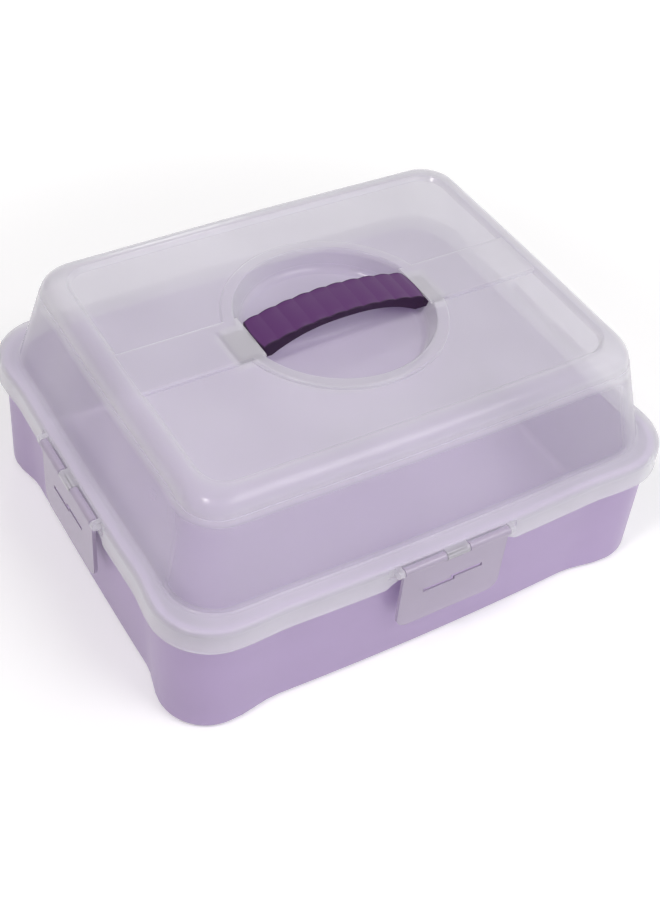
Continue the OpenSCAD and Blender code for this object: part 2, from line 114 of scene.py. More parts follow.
class Measures:
    """The sizes in millimetres, with the heights that follow from them"""

    def __init__(self, sizes):
        self.skirt_x = sizes.skirt_length / MM / 2
        self.skirt_y = sizes.skirt_depth / MM / 2
        self.tray_height = sizes.tray_height / MM
        self.ring_radius = sizes.ring_radius / MM
        self.strap_width = sizes.strap_width / MM
        self.rib_count = sizes.rib_count

        # Tray
        self.tray_wall = 2.4
        self.tray_floor = 2.6
        self.tray_draft = 2.5
        self.corner_stand = 3.0
        self.base_round = 3.5
        self.inside_round = 5.0
        self.foot_height = 0.8
        self.foot_setback = 2.0
        self.skirt_gap = 1.2
        self.rim_lip = 1.6
        self.rim_lip_height = 4.0

        # Lid
        self.lid_wall = 2.2
        self.skirt_height = 13.5
        self.flange_round = 3.0
        self.top_edge_width = 5.0
        self.shoulder_height = 12.0
        self.ledge_round = 0.4
        self.foot_fillet = 3.0
        self.skirt_bead = 0.45
        self.skirt_bead_height = 1.2
        self.panel_drop = 3.0
        self.ring_width = 8.0
        self.ring_rise = 2.2
        self.ring_round = 1.4
        self.channel_width = 37.0
        self.channel_rise = 2.2
        self.well_draft = 3.0
        self.well_depth = 12.0
        self.well_round = 5.0
        self.skirt_edge = self.tray_height - self.skirt_height
        self.flange_under = self.tray_height + 0.2
        self.flange_top = self.flange_under + self.lid_wall
        self.lid_top = self.tray_height + sizes.lid_rise / MM
        self.crease_height = self.lid_top - self.shoulder_height
        self.panel_top = self.lid_top - self.panel_drop
        self.panel_under = self.panel_top - self.lid_wall
        self.well_radius = self.ring_radius - self.ring_width
        self.well_floor = self.panel_top - self.well_depth
        self.channel_top = self.panel_top + self.channel_rise

        # Strap, with its tongues in pockets under the channel
        self.pocket_wall = 1.6
        self.pocket_roof = self.channel_top - self.pocket_wall
        self.tongue_thickness = 2.2
        self.tongue_travel = 3.7
        self.tongue_bottom = self.pocket_roof - self.tongue_travel - self.tongue_thickness
        self.rest_gap = 0.2
        self.pocket_floor = self.tongue_bottom - self.rest_gap
        self.strap_gap = 0.8
        self.tongue_length = 9.0
        self.tongue_end = self.well_radius + self.tongue_length
        self.pocket_end = self.tongue_end + self.strap_gap
        self.pocket_half = self.strap_width / 2 + self.strap_gap
        self.strap_half = self.well_radius - self.well_draft - self.strap_gap
        self.strap_arch = 8.5
        self.strap_thickness = 4.4
        self.rib_height = 0.9
        self.rib_fade = 3.0
        self.strap_camber = 0.35
        self.belly_end = 7.0

        # Latches, with their bars in the flange and the catches on the tray
        self.latch_width = 71.0
        self.latch_length = 51.0
        self.latch_corner = 8.0
        self.latch_plate = 2.4
        self.latch_gap = 0.7
        self.bar_radius = 1.5
        self.clip_radius = 2.81
        self.clip_gap = 0.06
        self.clip_mouth = 1.2
        self.middle_lug = 7.5
        self.end_lug = 3.5
        self.lug_gap = 0.7
        self.bar_out = self.latch_gap + self.latch_plate / 2
        self.bar_height = self.flange_top - self.clip_radius - self.clip_gap
        self.catch_height = self.flange_top - 24.0
        self.catch_length = 19.5
        self.catch_thickness = 1.6
        self.catch_step = 2.4
        self.catch_gap = 0.7
        self.notch_reach = 10.0
        self.notch_height = 6.0

        # Hinges at the back
        self.hinge_offset = 80.0
        self.knuckle_radius = 3.4
        self.hinge_out = self.knuckle_radius + 0.8
        self.bore_radius = 1.65
        self.lid_knuckle = 16.0
        self.tray_knuckle = 8.0
        self.knuckle_gap = 0.4
        self.bracket_slope = 9.0
        self.arm_slope = 8.0

    # Each plan: (half length, half depth, corner radius, end bow, side bow, corner bulge)

    def skirt_plan(self):
        return (self.skirt_x, self.skirt_y, 36.0, 1.5, 4.0, 2.4)

    def lid_foot_plan(self):
        return (self.skirt_x - 10.0, self.skirt_y - 12.0, 31.0, 1.5, 3.0, 1.0)

    def crease_plan(self):
        return (147.5, 114.5, 22.0, 1.0, 2.0, 0.5)

    def top_plan(self):
        return (136.0, 101.5, 20.0, 0.5, 1.0, 0.0)

    def tray_top_plan(self):
        return inset_plan(self.skirt_plan(), self.lid_wall + self.skirt_gap + self.rim_lip)

    def inside_tray_wall(self, height, along=0.0):
        """How far inside the skirt's middle a point within the tray's wall lies"""
        wall_top = self.tray_height - self.rim_lip_height
        wall_height = wall_top - self.foot_height - self.base_round
        lean = self.tray_draft * (wall_top - height) / wall_height
        half_x, _, radius, end_bow, side_bow, bulge = self.skirt_plan()
        fall = side_fall(along / (half_x - end_bow + bulge - radius), side_bow, bulge)
        return self.lid_wall + self.skirt_gap + self.rim_lip + lean + fall + self.tray_wall * 0.6

    def tray_base_plan(self):
        half_x, half_y, radius, end_bow, side_bow, bulge = inset_plan(self.tray_top_plan(),
                                                                      self.tray_draft)
        return (half_x, half_y, radius + self.tray_draft * 0.6, end_bow, side_bow,
                bulge + self.corner_stand)


# ---- Plan outlines ----


def inset_plan(plan, distance):
    return (plan[0] - distance, plan[1] - distance, plan[2] - distance, *plan[3:])


def mix_plan(first, second, share):
    return tuple(a + (b - a) * share for a, b in zip(first, second))


def side_fall(station, bow, bulge):
    """How far a side lies inside its middle, with its bow and the bulge of its corners"""
    t = min(1.0, max(0.0, (abs(station) - BULGE_START) / (1 - BULGE_START)))
    return bow * station * station - bulge * t * t * (3 - 2 * t)


def outline(plan):
    """The corners and bowed sides of a plan as points, anticlockwise from above"""
    half_x, half_y, radius, end_bow, side_bow, bulge = plan
    corner_x = half_x - end_bow + bulge
    corner_y = half_y - side_bow + bulge
    stations = [-1 + 2 * i / SIDE_STATIONS for i in range(SIDE_STATIONS)]
    half = [(u * (corner_x - radius), -(half_y - side_fall(u, side_bow, bulge))) for u in stations]
    for i in range(CORNER_STEPS):
        a = math.radians(-90 + 90 * i / CORNER_STEPS)
        half.append((corner_x - radius + radius * math.cos(a),
                     -(corner_y - radius) + radius * math.sin(a)))
    half += [(half_x - side_fall(u, end_bow, bulge), u * (corner_y - radius)) for u in stations]
    for i in range(CORNER_STEPS):
        a = math.radians(90 * i / CORNER_STEPS)
        half.append((corner_x - radius + radius * math.cos(a),
                     corner_y - radius + radius * math.sin(a)))
    return half + [(-x, -y) for x, y in half]


def quarter(start, end, steps):
    """Angles from start to end in degrees, both included, as radians"""
    return [math.radians(start + (end - start) * i / steps) for i in range(steps + 1)]


# ---- Modelling by Blender's own operators ----


def deselect():
    if bpy.context.object and bpy.context.object.mode != "OBJECT":
        bpy.ops.object.mode_set(mode="OBJECT")
    bpy.ops.object.select_all(action="DESELECT")


def activate(piece):
    deselect()
    piece.select_set(True)
    bpy.context.view_layer.objects.active = piece
    return piece


def named(name):
    piece = bpy.context.object
    piece.name = name
    piece.data.name = name
    return piece


def discard(piece):
    data = piece.data
    bpy.data.objects.remove(piece)
    bpy.data.meshes.remove(data)


def reshaped(piece, move):
    """Moves the points of a piece in edit mode, each by the same rule"""
    activate(piece)
    bpy.ops.object.mode_set(mode="EDIT")
    for vert in bmesh.from_edit_mesh(piece.data).verts:
        move(vert.co)
    bmesh.update_edit_mesh(piece.data)
    bpy.ops.object.mode_set(mode="OBJECT")
    return piece


def rounded(piece, wanted, radius, segments):
    """Rounds the edges of a piece that a rule picks by their two ends"""
    activate(piece)
    bpy.ops.object.mode_set(mode="EDIT")
    mesh = bmesh.from_edit_mesh(piece.data)
    for face in mesh.faces:
        face.select_set(False)
    for edge in mesh.edges:
        edge.select_set(wanted(*(v.co for v in edge.verts)))
    bmesh.update_edit_mesh(piece.data)
    bpy.ops.mesh.bevel(offset=radius, segments=segments, affect="EDGES")
    bpy.ops.object.mode_set(mode="OBJECT")
    return piece


def apply_modifiers(piece):
    activate(piece)
    for name in [m.name for m in piece.modifiers]:
        bpy.ops.object.modifier_apply(modifier=name)
    return piece


def lofted(name, levels):
    """A ring of edges extruded through levels of (plan, height) and closed at both ends"""
    deselect()
    points = outline(levels[0][0])
    bpy.ops.mesh.primitive_circle_add(vertices=len(points), radius=10, fill_type="NOTHING",
                                      location=(0, 0, 0))
    piece = named(name)
    bpy.ops.object.mode_set(mode="EDIT")
    bpy.ops.mesh.select_all(action="SELECT")
    mesh = bmesh.from_edit_mesh(piece.data)
    mesh.verts.ensure_lookup_table()
    ring = sorted(mesh.verts, key=lambda v: math.atan2(v.co.y, v.co.x))
    first = min(range(len(points)), key=lambda i: math.atan2(points[i][1], points[i][0]))
    for i, vert in enumerate(ring):
        vert.co = (*points[(first + i) % len(points)], levels[0][1])
    bpy.ops.mesh.edge_face_add()
    bpy.ops.mesh.select_all(action="DESELECT")
    mesh = bmesh.from_edit_mesh(piece.data)
    for edge in mesh.edges:
        edge.select_set(True)
    bmesh.update_edit_mesh(piece.data)
    before = {}
    for i, vert in enumerate(ring):
        before[tuple(round(c, 4) for c in vert.co)] = (first + i) % len(points)
    for plan, height in levels[1:]:
        bpy.ops.mesh.extrude_edges_move()
        mesh = bmesh.from_edit_mesh(piece.data)
        goal, after = outline(plan), {}
        for vert in [v for v in mesh.verts if v.select]:
            index = before[tuple(round(c, 4) for c in vert.co)]
            vert.co = (*goal[index], height)
            after[tuple(round(c, 4) for c in vert.co)] = index
        bmesh.update_edit_mesh(piece.data)
        before = after
    bpy.ops.mesh.edge_face_add()
    bpy.ops.mesh.select_all(action="SELECT")
    bpy.ops.mesh.normals_make_consistent(inside=False)
    bpy.ops.object.mode_set(mode="OBJECT")
    return piece


def turned(name, profile, steps=TURN_STEPS):
    """A profile of (radius, height), drawn point by point and spun round the upright axis"""
    deselect()
    bpy.ops.mesh.primitive_plane_add(size=1, location=(0, 0, 0))
    piece = named(name)
    bpy.ops.object.mode_set(mode="EDIT")
    bpy.ops.mesh.select_all(action="SELECT")
    bpy.ops.mesh.merge(type="CENTER")
    bpy.ops.transform.translate(value=(profile[0][0], 0, profile[0][1]))
    for a, b in zip(profile, profile[1:]):
        bpy.ops.mesh.extrude_vertices_move(
            TRANSFORM_OT_translate={"value": (b[0] - a[0], 0, b[1] - a[1])})
    bpy.ops.mesh.select_all(action="SELECT")
    bpy.ops.mesh.spin(steps=steps, angle=2 * math.pi, center=(0, 0, 0), axis=(0, 0, 1))
    bpy.ops.mesh.select_all(action="SELECT")
    bpy.ops.mesh.remove_doubles(threshold=0.001)
    bpy.ops.mesh.normals_make_consistent(inside=False)
    bpy.ops.object.mode_set(mode="OBJECT")
    return piece


def block(name, low, high, bevel=0.0, segments=3):
    """A box between two corners, with its edges rounded"""
    deselect()
    centre = [(a + b) / 2 for a, b in zip(low, high)]
    bpy.ops.mesh.primitive_cube_add(size=1, location=centre)
    piece = named(name)
    bpy.ops.object.mode_set(mode="EDIT")
    bpy.ops.mesh.select_all(action="SELECT")
    bpy.ops.transform.resize(value=[b - a for a, b in zip(low, high)])
    if bevel:
        bpy.ops.mesh.bevel(offset=bevel, segments=segments, affect="EDGES")
    bpy.ops.object.mode_set(mode="OBJECT")
    bpy.ops.object.transform_apply(location=True, rotation=True, scale=True)
    return piece


def bar(name, axis_point, radius, length, bevel=0.0, vertices=48):
    """A round bar along X, centred on a point, with the edges of its ends rounded"""
    deselect()
    bpy.ops.mesh.primitive_cylinder_add(vertices=vertices, radius=radius, depth=length,
                                        location=axis_point, rotation=(0, math.pi / 2, 0))
    piece = named(name)
    if bevel:
        rim = piece.modifiers.new("round ends", "BEVEL")
        rim.width, rim.segments, rim.limit_method = bevel, 2, "ANGLE"
        rim.angle_limit = math.radians(40)
        apply_modifiers(piece)
    bpy.ops.object.transform_apply(location=True, rotation=True, scale=True)
    return piece


def combine(piece, tool, operation):
    """Joins a solid to a piece, or cuts it out, by Blender's exact boolean"""
    step = piece.modifiers.new(operation.lower(), "BOOLEAN")
    step.operation, step.object, step.solver = operation, tool, "EXACT"
    apply_modifiers(piece)
    discard(tool)
    return piece


def fuse(piece, tool):
    return combine(piece, tool, "UNION")


def carve(piece, tool):
    return combine(piece, tool, "DIFFERENCE")


def placed(piece, side, measures, along=0.0):
    """Takes what is modelled for the front's middle to one of the four sides"""
    reach = measures.skirt_y if side in ("front", "back") else measures.skirt_x
    angle = {"front": 0, "right": 90, "back": 180, "left": 270}[side]
    activate(piece)
    piece.matrix_world = (Matrix.Rotation(math.radians(angle), 4, "Z")
                          @ Matrix.Translation((along, -reach, 0)))
    bpy.ops.object.transform_apply(location=True, rotation=True, scale=True)
    return piece


def edge_rounding(piece, width, angle=30, segments=2):
    """Rounds every edge that is sharper than an angle"""
    soft = piece.modifiers.new("edge rounding", "BEVEL")
    soft.width, soft.segments, soft.limit_method = width, segments, "ANGLE"
    soft.angle_limit = math.radians(angle)
    soft.use_clamp_overlap = True
    soft.miter_outer = "MITER_ARC"
    return apply_modifiers(piece)


def finish_piece(piece, material, body, slot, *nodes):
    """Brings a piece to metres, shades it, gives it its material, puts it under its body and hides
    the CAD parts it replaces
    """
    activate(piece)
    bpy.ops.object.mode_set(mode="EDIT")
    bpy.ops.mesh.select_all(action="SELECT")
    bpy.ops.mesh.remove_doubles(threshold=0.001)
    bpy.ops.object.mode_set(mode="OBJECT")
    piece.scale = (MM, MM, MM)
    bpy.ops.object.transform_apply(location=True, rotation=True, scale=True)
    bpy.ops.object.shade_smooth_by_angle(angle=SMOOTH_ANGLE)
    flat = piece.modifiers.new("flat faces first", "WEIGHTED_NORMAL")
    flat.keep_sharp = True
    apply_modifiers(piece)
    piece.data.materials.clear()
    piece.data.materials.append(material)
    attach(piece, body)
    if nodes:
        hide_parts(*nodes)
    return piece


# ---- Finishes ----


class Finish:
    """A new node material with its shader, and short ways to add nodes to it"""

    def __init__(self, name):
        self.material = bpy.data.materials.new(name)
        self.material.use_nodes = True
        self.tree = self.material.node_tree
        self.shader = self.tree.nodes["Principled BSDF"]
        self.place = self.node("ShaderNodeTexCoord").outputs["Object"]

    def node(self, kind, **values):
        made = self.tree.nodes.new(kind)
        for name, value in values.items():
            setattr(made, name, value)
        return made

    def link(self, source, socket):
        self.tree.links.new(source, socket)

    def noise(self, scale, detail=3.0, stretch=(1, 1, 1), roughness=0.5):
        mapping = self.node("ShaderNodeMapping")
        mapping.inputs["Scale"].default_value = stretch
        self.link(self.place, mapping.inputs["Vector"])
        made = self.node("ShaderNodeTexNoise")
        made.inputs["Scale"].default_value = scale
        made.inputs["Detail"].default_value = detail
        made.inputs["Roughness"].default_value = roughness
        self.link(mapping.outputs["Vector"], made.inputs["Vector"])
        return made.outputs["Fac"]

    def spread(self, source, low, high, from_low=0.2, from_high=0.8):
        made = self.node("ShaderNodeMapRange", interpolation_type="SMOOTHSTEP")
        for name, value in (("From Min", from_low), ("From Max", from_high),
                            ("To Min", low), ("To Max", high)):
            made.inputs[name].default_value = value
        self.link(source, made.inputs["Value"])
        return made.outputs["Result"]

    def mixed(self, fac, first, second):
        made = self.node("ShaderNodeMix", data_type="RGBA")
        made.inputs["A"].default_value = (*first, 1)
        made.inputs["B"].default_value = (*second, 1)
        self.link(fac, made.inputs["Factor"])
        return made.outputs["Result"]

    def maths(self, operation, first, second=None):
        made = self.node("ShaderNodeMath", operation=operation)
        for socket, value in zip(made.inputs, (first, second)):
            if isinstance(value, (int, float)):
                socket.default_value = value
            elif value is not None:
                self.link(value, socket)
        return made.outputs[0]

    def bump(self, source, distance, strength=1.0, under=None):
        made = self.node("ShaderNodeBump")
        made.inputs["Distance"].default_value = distance
        made.inputs["Strength"].default_value = strength
        self.link(source, made.inputs["Height"])
        if under is not None:
            self.link(under, made.inputs["Normal"])
        return made.outputs["Normal"]


def tinted(colour, factor):
    return tuple(min(1.0, c * factor) for c in colour)


def frosted_plastic(name, colour, veil, roughness, rim_veil=0.0, panel_veil=0.0):
    """Frosted see-through plastic: a wall seen at a slant hides more, and a cloudy grain runs
    through it. The thick rim below the walls and the panel above them may hide more too."""
    finish = Finish(name)
    cloud = finish.noise(14, detail=1)
    grain = finish.noise(500, detail=2)
    tints = tinted(colour, 0.97), tinted(colour, 1.03)
    finish.link(finish.mixed(finish.spread(cloud, 0, 1), *tints),
                finish.shader.inputs["Base Color"])
    rough = finish.maths("ADD", finish.spread(cloud, roughness - 0.04, roughness + 0.05),
                         finish.spread(grain, 0, 0.05))
    finish.link(rough, finish.shader.inputs["Roughness"])
    slant = finish.node("ShaderNodeLayerWeight")
    slant.inputs["Blend"].default_value = 0.5
    squarely = finish.maths("MAXIMUM", finish.maths("SUBTRACT", 1.0, slant.outputs["Facing"]), 0.2)
    height = finish.node("ShaderNodeSeparateXYZ")
    finish.link(finish.place, height.inputs["Vector"])
    rim = finish.spread(height.outputs["Z"], rim_veil, 0.0, RIM_TOP - 0.002, RIM_TOP + 0.003)
    panel = finish.spread(height.outputs["Z"], 0.0, panel_veil, PANEL_FOOT - 0.006, PANEL_FOOT)
    clear = finish.maths("SUBTRACT", finish.spread(cloud, 1 - veil + 0.01, 1 - veil - 0.01),
                         finish.maths("ADD", rim, panel))
    passed = finish.maths("POWER", clear, finish.maths("DIVIDE", 1.0, squarely))
    path = finish.node("ShaderNodeLightPath")
    kept = finish.maths("SUBTRACT", 1.0, finish.maths("MULTIPLY", path.outputs["Is Shadow Ray"],
                                                      LIGHT_LET_THROUGH))
    finish.link(finish.maths("MULTIPLY", finish.maths("SUBTRACT", 1.0, passed), kept),
                finish.shader.inputs["Alpha"])
    finish.link(finish.bump(grain, 0.00001, 0.3), finish.shader.inputs["Normal"])
    finish.shader.inputs["IOR"].default_value = 1.49
    return finish.material


def painted_edge_shade_mask(finish, half_width, reach):
    """Mask of the painted shade: 1 along the sides and ends of the strap and on the tongues beyond
    its ends, and 0 on its top
    """
    place = finish.node("ShaderNodeSeparateXYZ")
    finish.link(finish.place, place.inputs["Vector"])
    x, y = place.outputs["X"], place.outputs["Y"]
    inner, outer = 0.0013, 0.0002
    side = finish.spread(finish.maths("ABSOLUTE", y), 0, 1, half_width - inner, half_width - outer)
    far = finish.maths("SQRT", finish.maths("ADD", finish.maths("MULTIPLY", x, x),
                                            finish.maths("MULTIPLY", y, y)))
    return finish.maths("MAXIMUM", side, finish.spread(far, 0, 1, reach - inner, reach - outer))


def moulded_plastic(name, colour, roughness, grain_depth, shine=0.5, painted_edge_shade=None):
    """Solid moulded plastic: faint flow clouds in its colour, an uneven gloss and a fine skin.
    A painted shade, which darkens the edges to 0.3 of the colour, is given as the half width and
    the reach of the piece in metres."""
    finish = Finish(name)
    cloud = finish.noise(9, detail=4, stretch=(1, 1, 1.8))
    skin = finish.noise(150, detail=1)
    shade = finish.mixed(finish.spread(cloud, 0, 1), tinted(colour, 0.955), tinted(colour, 1.04))
    # Painted shade: the sides and ends of the strap and its tongues are darkened to 0.3 of the
    # colour, standing in for the shade that falls there
    if painted_edge_shade:
        edge_shaded = finish.node("ShaderNodeMix", data_type="RGBA")
        finish.link(painted_edge_shade_mask(finish, *painted_edge_shade), edge_shaded.inputs["Factor"])
        finish.link(shade, edge_shaded.inputs["A"])
        edge_shaded.inputs["B"].default_value = (*tinted(colour, 0.3), 1)
        shade = edge_shaded.outputs["Result"]
    finish.link(shade, finish.shader.inputs["Base Color"])
    finish.link(finish.spread(cloud, roughness - 0.03, roughness + 0.04),
                finish.shader.inputs["Roughness"])
    finish.link(finish.bump(skin, grain_depth, 0.08), finish.shader.inputs["Normal"])
    finish.shader.inputs["IOR"].default_value = 1.49
    finish.shader.inputs["Specular IOR Level"].default_value = shine
    return finish.material


def drawn_steel(name):
    """Drawn steel rod: fine lines run along it"""
    finish = Finish(name)
    lines = finish.noise(700, detail=3, stretch=(0.02, 1, 1))
    finish.shader.inputs["Base Color"].default_value = (0.56, 0.56, 0.58, 1)
    finish.shader.inputs["Metallic"].default_value = 1.0
    finish.link(finish.spread(lines, 0.3, 0.42), finish.shader.inputs["Roughness"])
    finish.link(finish.bump(lines, 0.00002, 0.4), finish.shader.inputs["Normal"])
    return finish.material


# ---- Pieces ----


class CARRIER_OT_tray(bpy.types.Operator):
    """Model the tray with its rounded base, lipped rim, stepped catches and hinge knuckles"""

    bl_idname = "carrier.tray"
    bl_label = "Tray"

    def execute(self, context):
        m = Measures(context.scene.carrier_sizes)
        top, base = m.tray_top_plan(), m.tray_base_plan()
        foot = inset_plan(base, m.base_round)
        levels = [(inset_plan(foot, m.foot_setback), 0.0),
                  (inset_plan(foot, m.foot_setback), m.foot_height)]
        levels += [(inset_plan(base, m.base_round * (1 - math.sin(a))),
                    m.foot_height + m.base_round * (1 - math.cos(a))) for a in quarter(0, 90, 8)]
        levels += [(top, m.tray_height - m.rim_lip_height),
                   (inset_plan(top, -m.rim_lip), m.tray_height - m.rim_lip_height),
                   (inset_plan(top, -m.rim_lip), m.tray_height - m.rim_lip / 2),
                   (inset_plan(top, -m.rim_lip / 2), m.tray_height),
                   (inset_plan(top, m.tray_wall), m.tray_height)]
        levels += [(inset_plan(base, m.tray_wall + m.inside_round * (1 - math.sin(a))),
                    m.foot_height + m.tray_floor + m.inside_round * (1 - math.cos(a)))
                   for a in quarter(90, 0, 8)]
        tray = lofted("tray_moulding", levels)
        edge_rounding(tray, 0.35, angle=14, segments=2)
        for side in ("front", "left", "right"):
            for part in self.catch_parts(m):
                fuse(tray, placed(part, side, m))
        for along in (-m.hinge_offset, m.hinge_offset):
            fuse(tray, placed(self.knuckle(m, -1), "back", m, along))
            fuse(tray, placed(self.knuckle(m, 1), "back", m, along))
            bore = bar("bore", (0, -m.hinge_out, m.skirt_edge), m.bore_radius, 60)
            carve(tray, placed(bore, "back", m, along))
        colours = context.scene.carrier_colours
        finish = moulded_plastic("lilac plastic", tuple(colours.tray), 0.31, 0.00002)
        finish_piece(tray, finish, "tray_body", "tray_plastic", "tray")
        return {"FINISHED"}

    def catch_parts(self, m):
        """A stepped catch: two bars at two heights and a short upright. The tray takes them one
        by one, because it can lose a catch that is fused first."""
        length, half, step = m.catch_length, m.catch_thickness / 2, m.catch_step
        back = m.inside_tray_wall(m.catch_height)
        out = m.latch_gap + m.latch_plate * 0.8
        low, high = m.catch_height - step / 2, m.catch_height + step / 2
        return (block("lower", (-length, -out, low - half), (0.4, back, low + half), 0.3),
                block("upper", (-0.4, -out, high - half), (length, back, high + half), 0.3),
                block("upright", (-half, -out + 0.05, low - half + 0.1),
                      (half, back, high + half - 0.1), 0.3))

    def knuckle(self, m, side):
        """One tray knuckle on a bracket that passes under the skirt"""
        width = m.tray_knuckle
        middle = side * (m.lid_knuckle / 2 + m.knuckle_gap + width / 2)
        axle = (middle, -m.hinge_out, m.skirt_edge)
        knuckle = bar("knuckle", axle, m.knuckle_radius, width, 0.3)
        under = m.skirt_edge - 0.8
        bracket = block("bracket", (middle - width / 2, -m.hinge_out + m.knuckle_radius * 0.2,
                                    under - m.knuckle_radius + 0.6),
                        (middle + width / 2, m.inside_tray_wall(under - 6, m.hinge_offset), under),
                        0.25)

        def slope(place):
            if place.y > 5 and place.z < under - 1.5:
                place.z -= m.bracket_slope

        return fuse(knuckle, reshaped(bracket, slope))


class CARRIER_OT_lid(bpy.types.Operator):
    """Model the lid with its walls, top panel, finger well, channel, latch bars and knuckles"""

    bl_idname = "carrier.lid"
    bl_label = "Lid"

    def execute(self, context):
        m = Measures(context.scene.carrier_sizes)
        lid = self.shell(m)
        hole = bar("hole", (0, 0, 0), m.well_radius + 3, 30, vertices=TURN_STEPS)
        activate(hole)
        hole.matrix_world = (Matrix.Translation((0, 0, m.panel_top))
                             @ Matrix.Rotation(math.pi / 2, 4, "Y"))
        bpy.ops.object.transform_apply(location=True, rotation=True, scale=True)
        carve(lid, hole)
        for side in ("front", "left", "right"):
            carve(lid, placed(self.relief(m), side, m))
            carve(lid, placed(self.notch(m), side, m))
        fuse(lid, self.ring_and_well(m))
        for side in (-1, 1):
            fuse(lid, self.channel(m, side))
        self.open_well(lid, m)
        for side in ("front", "left", "right"):
            fuse(lid, placed(self.latch_bar(m), side, m))
        for along in (-m.hinge_offset, m.hinge_offset):
            fuse(lid, placed(self.knuckle(m), "back", m, along))
            bore = bar("bore", (0, -m.hinge_out, m.skirt_edge), m.bore_radius, 40)
            carve(lid, placed(bore, "back", m, along))
        colours = context.scene.carrier_colours
        finish = frosted_plastic("frosted plastic", tuple(colours.lid), colours.lid_veil, 0.13,
                                 rim_veil=0.18, panel_veil=0.15)
        finish_piece(lid, finish, "lid_body", "lid_plastic", "lid")
        return {"FINISHED"}

    def shell(self, m):
        """The skirt, flange, walls, shoulder and recessed panel as one lofted wall"""
        top, crease, foot = m.top_plan(), m.crease_plan(), m.lid_foot_plan()
        skirt, bead = m.skirt_plan(), inset_plan(m.skirt_plan(), -m.skirt_bead)
        wall, fillet, ledge = m.lid_wall, m.foot_fillet, m.ledge_round
        set_back = 0.1
        shoulder = inset_plan(crease, 2 * ledge + set_back)
        rise = m.shoulder_height - ledge
        panel = inset_plan(top, m.top_edge_width)
        levels = [(panel, m.panel_under), (inset_plan(top, wall / 2), m.lid_top - wall)]
        levels += [(inset_plan(mix_plan(crease, top, 1 - math.cos(a)),
                               wall - wall / 2 * (1 - math.cos(a))),
                    m.crease_height + (m.shoulder_height - wall) * math.sin(a))
                   for a in quarter(80, 0, 8)]
        levels += [(inset_plan(foot, wall), m.flange_under),
                   (inset_plan(skirt, wall), m.flange_under),
                   (inset_plan(skirt, wall), m.skirt_edge), (bead, m.skirt_edge),
                   (bead, m.skirt_edge + m.skirt_bead_height),
                   (skirt, m.skirt_edge + 2 * m.skirt_bead_height)]
        levels += [(inset_plan(skirt, m.flange_round * (1 - math.cos(a))),
                    m.flange_top - m.flange_round * (1 - math.sin(a))) for a in quarter(0, 90, 7)]
        # The fillet ends at 75 degrees, so its foot stands out by 0.767 of its radius
        levels += [(inset_plan(foot, fillet * (math.sin(a) - 0.767)),
                    m.flange_top + fillet * (1 - math.cos(a))) for a in quarter(0, 75, 5)]
        levels += [(inset_plan(crease, ledge * (1 - math.cos(a))),
                    m.crease_height - ledge * (1 - math.sin(a))) for a in quarter(15, 90, 3)]
        levels += [(inset_plan(crease, ledge * (1 + math.sin(a)) + set_back),
                    m.crease_height + ledge * (1 - math.cos(a))) for a in quarter(0, 60, 2)]
        levels += [(mix_plan(shoulder, top, 1 - math.cos(a)),
                    m.crease_height + ledge + rise * math.sin(a)) for a in quarter(0, 90, 9)]
        levels += [(inset_plan(top, 2.0), m.lid_top),
                   (inset_plan(panel, -1.0), m.panel_top + 0.6), (panel, m.panel_top)]
        shell = lofted("lid_moulding", levels)
        return edge_rounding(shell, 0.5, angle=40, segments=2)

    def relief(self, m):
        """What the latch's clips need taken out of the flange's edge"""
        depth = m.clip_radius + 0.4 - m.bar_out
        half = m.latch_width / 2 + m.lug_gap + m.end_lug
        return block("relief", (-half - 4, -8 - depth, m.bar_height - m.clip_radius - 2),
                     (half + 4, depth, m.bar_height + 20))

    def notch(self, m):
        """What is taken out of the skirt's lower edge behind a latch"""
        half, top = m.latch_width / 2 - 1, m.skirt_edge + m.notch_height
        notch = block("notch", (-half, -1.4, m.skirt_edge - 1), (half, 8.0, top))
        flare = (m.notch_reach + 1) * (m.notch_height + 1) / m.notch_height

        def widen(place):
            if place.z < m.skirt_edge:
                place.x += math.copysign(flare, place.x)

        return reshaped(notch, widen)

    def ring_and_well(self, m):
        """The raised ring and the dished well inside it, turned as one"""
        ring, well, top = m.ring_radius, m.well_radius, m.panel_top + m.ring_rise
        soft, inside, outside = m.ring_round, m.well_round, m.well_round + m.lid_wall
        inner, bend = well - m.well_draft, m.well_floor + m.well_round
        profile = [(ring, m.panel_under - 0.02), (ring, m.panel_top + 0.2)]
        profile += [(ring - soft + soft * math.cos(a), top - soft + soft * math.sin(a))
                    for a in quarter(0, 90, 5)]
        profile += [(well + soft + soft * math.cos(a), top - soft + soft * math.sin(a))
                    for a in quarter(90, 180, 5)]
        profile += [(inner, bend)]
        profile += [(inner - inside + inside * math.cos(a), bend + inside * math.sin(a))
                    for a in quarter(-10, -90, 7)]
        profile += [(0, m.well_floor), (0, m.well_floor - m.lid_wall)]
        profile += [(inner - inside + outside * math.cos(a), bend + outside * math.sin(a))
                    for a in quarter(-90, -12, 7)]
        profile += [(well + 1.5, m.panel_under - 0.02), (ring, m.panel_under - 0.02)]
        return turned("ring_and_well", profile)

    def channel(self, m, side):
        """One half of the raised channel, with the pocket for the strap's tongue under it"""
        near = side * (m.well_radius - m.well_draft - 1)
        far = side * (m.top_plan()[0] - m.top_edge_width / 2)
        half = m.channel_width / 2
        low, high = min(near, far), max(near, far)
        channel = block("channel", (low, -half, m.panel_under + 0.4), (high, half, m.channel_top))

        def top_side(a, b):
            return min(a.z, b.z) > m.channel_top - 0.1 and abs(a.y - b.y) < 1

        rounded(channel, top_side, 1.5, 5)
        wall = m.pocket_wall
        pocket = [near, side * (m.pocket_end + wall)]
        pocket_half = m.pocket_half + wall
        fuse(channel, block("pocket", (min(pocket), -pocket_half, m.pocket_floor - wall),
                            (max(pocket), pocket_half, m.panel_top - 0.2)))
        return channel

